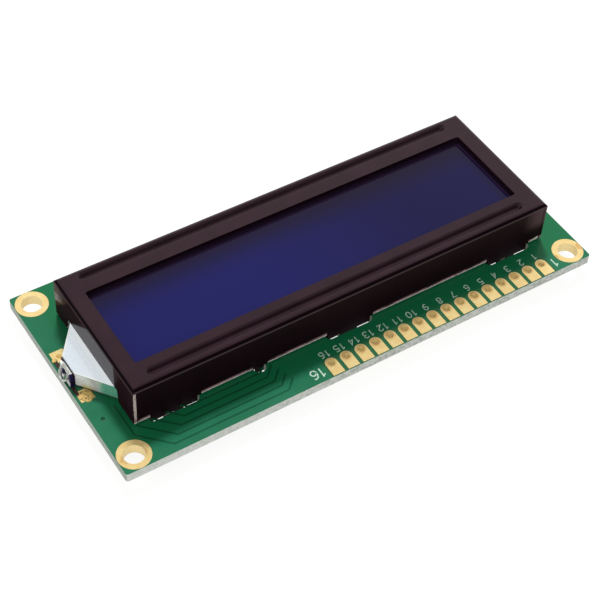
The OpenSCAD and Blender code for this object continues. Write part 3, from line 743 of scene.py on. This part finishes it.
def merge(mesh, other):
    """Add another bmesh to the mesh and free it."""
    data = bpy.data.meshes.new("part")
    other.to_mesh(data)
    other.free()
    mesh.from_mesh(data)
    bpy.data.meshes.remove(data)


def circle(mesh, radius, height, steps):
    """Vertices on a circle about Z."""
    turns = [2 * math.pi * i / steps for i in range(steps)]
    return [mesh.verts.new((radius * math.cos(t), radius * math.sin(t), height)) for t in turns]


def revolve(mesh, profile, place, steps):
    """A solid of revolution of (radius, height) points about Z, set down by a matrix."""
    made = bmesh.new()
    rings = [circle(made, radius, height, steps) for radius, height in profile]
    for ring, following in zip(rings, rings[1:]):
        bridge(made, ring, following)
    made.faces.new(rings[0][::-1])
    made.faces.new(rings[-1])
    bmesh.ops.transform(made, matrix=place, verts=made.verts)
    merge(mesh, made)


def add_ring(mesh, major, minor, place, steps=36, section_steps=14):
    """A closed ring about the place's Z axis, of two radii in mm."""
    made = bmesh.new()
    turns = [math.pi + 2 * math.pi * (i + 0.5) / section_steps for i in range(section_steps)]
    rings = [circle(made, (major + minor * math.cos(t)) * MM, minor * math.sin(t) * MM, steps)
             for t in turns]
    for ring, following in zip(rings, rings[1:] + rings[:1]):
        bridge(made, ring, following)
    bmesh.ops.transform(made, matrix=place, verts=made.verts)
    merge(mesh, made)


def dome(radius, height, steps=7):
    """Points of a low dome's section, from its foot to its small flat top, from sizes in mm."""
    turns = [math.pi / 2 * i / steps for i in range(steps)]
    points = [(radius * math.cos(t) * MM, height * math.sin(t) * MM) for t in turns]
    return points + [(0.02 * MM, height * MM)]


# ---------------------------------------------------------------- lamp, its solder and the via

LAMP_Y = (LAMP_LO.y + LAMP_HI.y) / 2
LAMP_Z = (LAMP_LO.z + LAMP_HI.z) / 2
# left face of the lamp's upright part, which stands against the light guide
LAMP_FRONT = LAMP_HI.x - 0.45 * MM
LENS_TILT = math.radians(24)
LENS_MIDDLE = Vector((LAMP_FRONT - 0.28 * MM, LAMP_Y + 0.15 * MM, LAMP_Z - 0.25 * MM))


def lens_place(dx=0.0, dy=0.0, dz=0.0):
    """A place on the lens, in mm: X to the near side, Y up the lens, Z out of it to the left."""
    along = Vector((0, -1, 0))
    upward = Vector((math.sin(LENS_TILT), 0, math.cos(LENS_TILT)))
    outward = along.cross(upward)
    spot = LENS_MIDDLE + (along * dx + upward * dy + outward * dz) * MM
    axes = Matrix((along, upward, outward)).transposed().to_4x4()
    return Matrix.Translation(spot) @ axes


def add_lamp():
    """The lamp's resin with its round mouth and lens, its dark frame, its contact, and green lumps
    painted as the board seen through the resin.
    """
    # the upright block, the foot on the near side, and the mouth's rim, floor and barrel
    resin = bmesh.new()
    rounded_box(resin, (LAMP_FRONT, LAMP_LO.y + 0.5 * MM, LAMP_LO.z),
                (LAMP_HI.x - 0.12 * MM, LAMP_HI.y - 0.9 * MM, LAMP_HI.z), 0.1 * MM)
    rounded_box(resin, (LAMP_FRONT - 0.4 * MM, LAMP_LO.y + 0.1 * MM, LAMP_LO.z),
                (LAMP_FRONT + 0.1 * MM, LAMP_Y - 0.5 * MM, LAMP_LO.z + 0.9 * MM), 0.15 * MM)
    add_ring(resin, 1.02, 0.18, lens_place())
    revolve(resin, dome(0.95, 0.04), lens_place(0, 0, -0.12), 32)
    revolve(resin, [(0.9 * MM, 0), (1.02 * MM, 0.42 * MM)], lens_place(0, 0, -0.46), 32)
    piece = add_piece("lamp_resin", resin, MATERIALS["led_resin"], LAMP_SMOOTH)
    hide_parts("led_housing")

    # the near cheek, a dark sheet against the guide as painted shade in the gap, the far lead, and
    # the pit and ring in the mouth
    dark = bmesh.new()
    rounded_box(dark, (LAMP_FRONT - 0.3 * MM, LAMP_LO.y, LAMP_LO.z),
                (LAMP_HI.x, LAMP_LO.y + 0.55 * MM, LAMP_HI.z), 0.08 * MM)
    # painted shade: a dark sheet in the gap between the lamp and the guide
    rounded_box(dark, (LAMP_HI.x - 0.14 * MM, LAMP_LO.y + 0.2 * MM, LAMP_LO.z),
                (LAMP_HI.x, LAMP_HI.y, LAMP_HI.z - 0.06 * MM), 0.04 * MM)
    rounded_box(dark, (LAMP_FRONT + 0.05 * MM, LAMP_HI.y - 0.95 * MM, LAMP_LO.z),
                (LAMP_HI.x - 0.1 * MM, LAMP_HI.y - 0.3 * MM, LAMP_LO.z + 0.8 * MM), 0.1 * MM)
    revolve(dark, dome(0.44, 0.3), lens_place(-0.16, 0.36, -0.08), 24)
    add_ring(dark, 0.6, 0.09, lens_place(0.14, -0.18, -0.05))
    add_piece("lamp_frame", dark, MATERIALS["lamp_dark"], LAMP_SMOOTH)

    contact = bmesh.new()
    revolve(contact, dome(0.17, 0.14), lens_place(0.1, -0.2, 0.02), 18)
    revolve(contact, dome(0.1, 0.1), lens_place(-0.1, -0.26, 0.02), 14)
    add_piece("lamp_contact", contact, MATERIALS["led_phosphor"], LAMP_SMOOTH)

    # painted image of the board: green lumps where the board shows through the clear resin
    board_image = bmesh.new()
    revolve(board_image, dome(0.22, 0.14), lens_place(0.52, -0.24, 0.02), 7)
    revolve(board_image, dome(0.14, 0.12), lens_place(0.48, -0.52, 0.02), 6)
    add_piece("lamp_board_image", board_image, MATERIALS["lamp_green"], LAMP_SMOOTH)


def add_solder():
    """A rough blob of solder over the near pad, and a small fillet at the far lead."""
    mesh = bmesh.new()
    near = Vector((LAMP_LO.x + 1.4 * MM, LAMP_LO.y - 2.2 * MM, FACE_Z))
    # place, radius and height of each lump, in mm
    lumps = ((0, 0, 0.95, 0.34), (0.55, -0.35, 0.6, 0.3), (-0.5, 0.1, 0.62, 0.3),
             (0.1, -0.6, 0.6, 0.26), (-0.2, 0.45, 0.6, 0.3), (0.62, 0.1, 0.5, 0.26))
    for x, y, radius, height in lumps:
        seat = Matrix.Translation(near + Vector((x, y, 0)) * MM)
        revolve(mesh, dome(radius, height), seat, 20)
    far = Vector((LAMP_LO.x + 0.5 * MM, LAMP_HI.y + 1.5 * MM, FACE_Z + 0.04 * MM))
    revolve(mesh, dome(0.4, 0.2), Matrix.Translation(far), 20)
    piece = add_piece("lamp_solder", mesh, MATERIALS["solder"], SOLDER_SMOOTH)
    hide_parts("led_solder")


def add_via():
    """A tented via beside the near-left corner."""
    mesh = bmesh.new()
    # radius and height of the ring's section, in mm
    ring = [(0.16, 0), (0.36, 0), (0.34, 0.03), (0.2, 0.035), (0.16, 0.01)]
    seat = Matrix.Translation((BOARD_LO.x + 1.7 * MM, BOARD_LO.y + 9.9 * MM, FACE_Z - 0.005 * MM))
    revolve(mesh, [(r * MM, h * MM) for r, h in ring], seat, 24)
    add_piece("via", mesh, MATERIALS["via"], LAMP_SMOOTH)


# ---------------------------------------------------------------- printed numbers

# strokes of the figures, in a cell 0.6 wide and 1 high
FIGURE_WIDTH = 0.6
FIGURES = {
    "0": [[(0, 0.3), (0, 0.7), (0.14, 0.95), (0.3, 1), (0.46, 0.95), (0.6, 0.7), (0.6, 0.3),
           (0.46, 0.05), (0.3, 0), (0.14, 0.05), (0, 0.3)]],
    "1": [[(0.08, 0.78), (0.34, 1), (0.34, 0)]],
    "2": [[(0, 0.76), (0.12, 0.95), (0.3, 1), (0.5, 0.93), (0.58, 0.74), (0.5, 0.52), (0, 0),
           (0.6, 0)]],
    "3": [[(0, 0.86), (0.16, 1), (0.44, 1), (0.58, 0.86), (0.58, 0.68), (0.42, 0.54), (0.22, 0.54)],
          [(0.42, 0.54), (0.6, 0.38), (0.6, 0.16), (0.44, 0), (0.16, 0), (0, 0.14)]],
    "4": [[(0.44, 0), (0.44, 1), (0, 0.3), (0.6, 0.3)]],
    "5": [[(0.56, 1), (0.08, 1), (0.04, 0.54), (0.3, 0.62), (0.52, 0.54), (0.6, 0.34),
           (0.52, 0.1), (0.3, 0), (0.12, 0.03), (0, 0.14)]],
    "6": [[(0.54, 0.92), (0.36, 1), (0.14, 0.88), (0, 0.56), (0, 0.26), (0.12, 0.06), (0.3, 0),
           (0.48, 0.06), (0.6, 0.28), (0.5, 0.5), (0.3, 0.58), (0.1, 0.48), (0, 0.3)]],
    "7": [[(0, 1), (0.6, 1), (0.22, 0)]],
    "8": [[(0.3, 0.54), (0.1, 0.64), (0.06, 0.82), (0.16, 0.97), (0.3, 1), (0.44, 0.97),
           (0.54, 0.82), (0.5, 0.64), (0.3, 0.54), (0.08, 0.44), (0, 0.26), (0.1, 0.06),
           (0.3, 0), (0.5, 0.06), (0.6, 0.26), (0.52, 0.44), (0.3, 0.54)]],
    "9": [[(0.06, 0.08), (0.24, 0), (0.46, 0.12), (0.6, 0.44), (0.6, 0.74), (0.48, 0.94),
           (0.3, 1), (0.12, 0.94), (0, 0.72), (0.1, 0.5), (0.3, 0.42), (0.5, 0.52),
           (0.6, 0.7)]],
}
INK_HEIGHT = 0.015 * MM
# height and stroke of the figures in the row and of the larger ones at its ends
ROW_FIGURE = (1.1 * MM, 0.16 * MM)
END_FIGURE = (1.55 * MM, 0.22 * MM)


def add_number(mesh, text, centre, height, stroke, spacing=0.85):
    """Ink strokes of a number round a centre, upright for someone who stands on the far side."""
    advance = spacing * height
    start = -advance * (len(text) - 1) / 2 - FIGURE_WIDTH / 2 * height
    for i, figure in enumerate(text):
        for line in FIGURES[figure]:
            points = [(centre[0] - (start + i * advance + u * height),
                       centre[1] - (v - 0.5) * height) for u, v in line]
            add_strip(mesh, points, stroke, FACE_Z, FACE_Z + INK_HEIGHT)


def add_legend():
    """Pin numbers in a row behind the header pads, and larger ones beside the first and last."""
    mesh = bmesh.new()
    row_y = PIN1.y + 1.85 * MM
    for i in range(PIN_COUNT):
        add_number(mesh, str(i + 1), (PIN1.x - i * PIN_PITCH, row_y), *ROW_FIGURE)
    end_y = PIN1.y - 0.65 * MM
    add_number(mesh, "1", (PIN1.x + 2.0 * MM, end_y), *END_FIGURE)
    add_number(mesh, str(PIN_COUNT), (PIN16.x - 2.7 * MM, end_y), *END_FIGURE, spacing=0.76)
    ink = plain("legend_ink", srgb(196, 216, 200), srgb(150, 186, 164), 0.6, 5, bump_mm=0.002)
    add_piece("pin_numbers", mesh, ink)


# ---------------------------------------------------------------- tracks under the mask

TRACK_COUNT = 5
TRACK_PITCH = 1.15 * MM
TRACK_GAP = 0.34 * MM
TRACK_TAPER = 0.04 * MM
# the slanting stretches at the board's corner and at the tracks' right ends
TRACK_CORNER = 4.0 * MM
TRACK_TURN = 1.6 * MM
# right end of the first line, and how far each next one stops short of it, in pitches
TRACK_END_X = -13.6 * MM
TRACK_STAGGER = 0.42
# where the first line stops beside the bezel, and the others at its near wall
FIRST_STOP_Y = -6.8 * MM
OTHER_STOP_Y = WALL_NEAR_Y + 0.05 * MM


def add_track_gaps():
    """Dark isolation lines of the tracks that run along the front edge and round the corner."""
    mesh = bmesh.new()
    first_y = BOARD_LO.y + 1.3 * MM
    first_x = BEZEL_LO.x - 0.65 * MM
    for i in range(TRACK_COUNT):
        y = first_y + i * TRACK_PITCH
        x = first_x + i * TRACK_PITCH
        end_x = TRACK_END_X - TRACK_STAGGER * i * TRACK_PITCH
        stop_y = OTHER_STOP_Y if i else FIRST_STOP_Y
        line = [(x, stop_y), (x, y + TRACK_CORNER), (x + TRACK_CORNER, y), (end_x, y),
                (end_x + TRACK_TURN, y + TRACK_TURN)]
        add_strip(mesh, line, TRACK_GAP, FACE_Z - 0.01 * MM, FACE_Z + 0.006 * MM, TRACK_TAPER)
    # the third colour is the gaps' painted shade beside the bezel
    mask = solder_mask("mask_over_gap", (10, 76, 50), (16, 86, 58), (4, 74, 40))
    add_piece("track_gaps", mesh, mask)


# ---------------------------------------------------------------- stage

FLOOR_SIZE = 3.0
# strength of the light that the floor throws back on the object
FLOOR_BOUNCE = 0.5
# the floor's own shade, which shows the object's shadow, and the white laid over it
FLOOR_SHADE = (0.16, 0.16, 0.155, 1)
FLOOR_GLOW = (0.9, 0.9, 0.895, 1)


def add_floor():
    """A white floor that keeps the object's shadow."""
    bpy.ops.mesh.primitive_plane_add(size=FLOOR_SIZE, location=(0, 0, CAD_LO.z))
    floor = bpy.context.object
    floor.name = "floor"
    g = Graph("floor")
    shade = g.node("ShaderNodeBsdfDiffuse")
    shade.inputs["Color"].default_value = FLOOR_SHADE
    glow = g.node("ShaderNodeEmission")
    glow.inputs["Color"].default_value = FLOOR_GLOW
    path = g.node("ShaderNodeLightPath").outputs
    seen = g.math("MAXIMUM", path["Is Camera Ray"],
                  g.math("MAXIMUM", path["Is Glossy Ray"], path["Is Transmission Ray"]))
    bounce = g.times(path["Is Diffuse Ray"], FLOOR_BOUNCE)
    g.link(g.math("MAXIMUM", seen, bounce), glow.inputs["Strength"])
    both = g.node("ShaderNodeAddShader")
    g.link(shade.outputs[0], both.inputs[0])
    g.link(glow.outputs[0], both.inputs[1])
    g.link(both.outputs[0], g.out.inputs["Surface"])
    floor.data.materials.append(g.material)


# strength of the surroundings as light, and how much dimmer their mirror image is overhead and
# on the near side
WORLD_LIGHT = 0.52
OVERHEAD_DIM = 0.62
NEAR_SIDE_DIM = 0.45


class WorldGraph(Graph):
    """The world's nodes."""

    def __init__(self, name):
        self.world = bpy.data.worlds.new(name)
        self.world.use_nodes = True
        self.tree = self.world.node_tree
        self.shader = self.tree.nodes["Background"]


def add_world():
    """White to the camera, plain light on the object, and in gloss dimmer overhead and in front."""
    g = WorldGraph("world")
    bpy.context.scene.world = g.world
    path = g.node("ShaderNodeLightPath").outputs
    _, y, z = g.split(g.node("ShaderNodeTexCoord").outputs["Generated"])
    overhead = g.ramp(z, 0.6, 1.05, 1, 1 - OVERHEAD_DIM)
    near = g.ramp(y, -0.5, -0.05, 1 - NEAR_SIDE_DIM, 1)
    mirrored = g.times(path["Is Glossy Ray"], overhead, near)
    seen = g.math("MAXIMUM", path["Is Camera Ray"], path["Is Transmission Ray"])
    light = g.times(path["Is Diffuse Ray"], WORLD_LIGHT)
    g.set(Strength=g.math("MAXIMUM", seen, g.math("MAXIMUM", mirrored, light)))
    g.shader.inputs["Color"].default_value = (1, 1, 1, 1)


def add_area(name, direction, distance, size, power):
    """A square area light that faces the origin from the given direction."""
    data = bpy.data.lights.new(name, "AREA")
    data.shape = "SQUARE"
    data.size = size
    data.energy = power
    light = bpy.data.objects.new(name, data)
    away = Vector(direction).normalized()
    light.location = away * distance
    light.rotation_euler = away.to_track_quat("Z", "Y").to_euler()
    light.visible_glossy = False
    bpy.context.scene.collection.objects.link(light)


add_camera()
add_world()
add_floor()
add_area("key", direction=(2.0, 4.2, 7.45), distance=1.5, size=0.22, power=18.5)
add_area("fill", direction=(-3.0, -4.0, 3.0), distance=0.9, size=0.5, power=1.5)
dress_nodes()
add_lamp()
add_solder()
add_via()
add_legend()
add_track_gaps()
bpy.context.scene.view_settings.view_transform = "Standard"
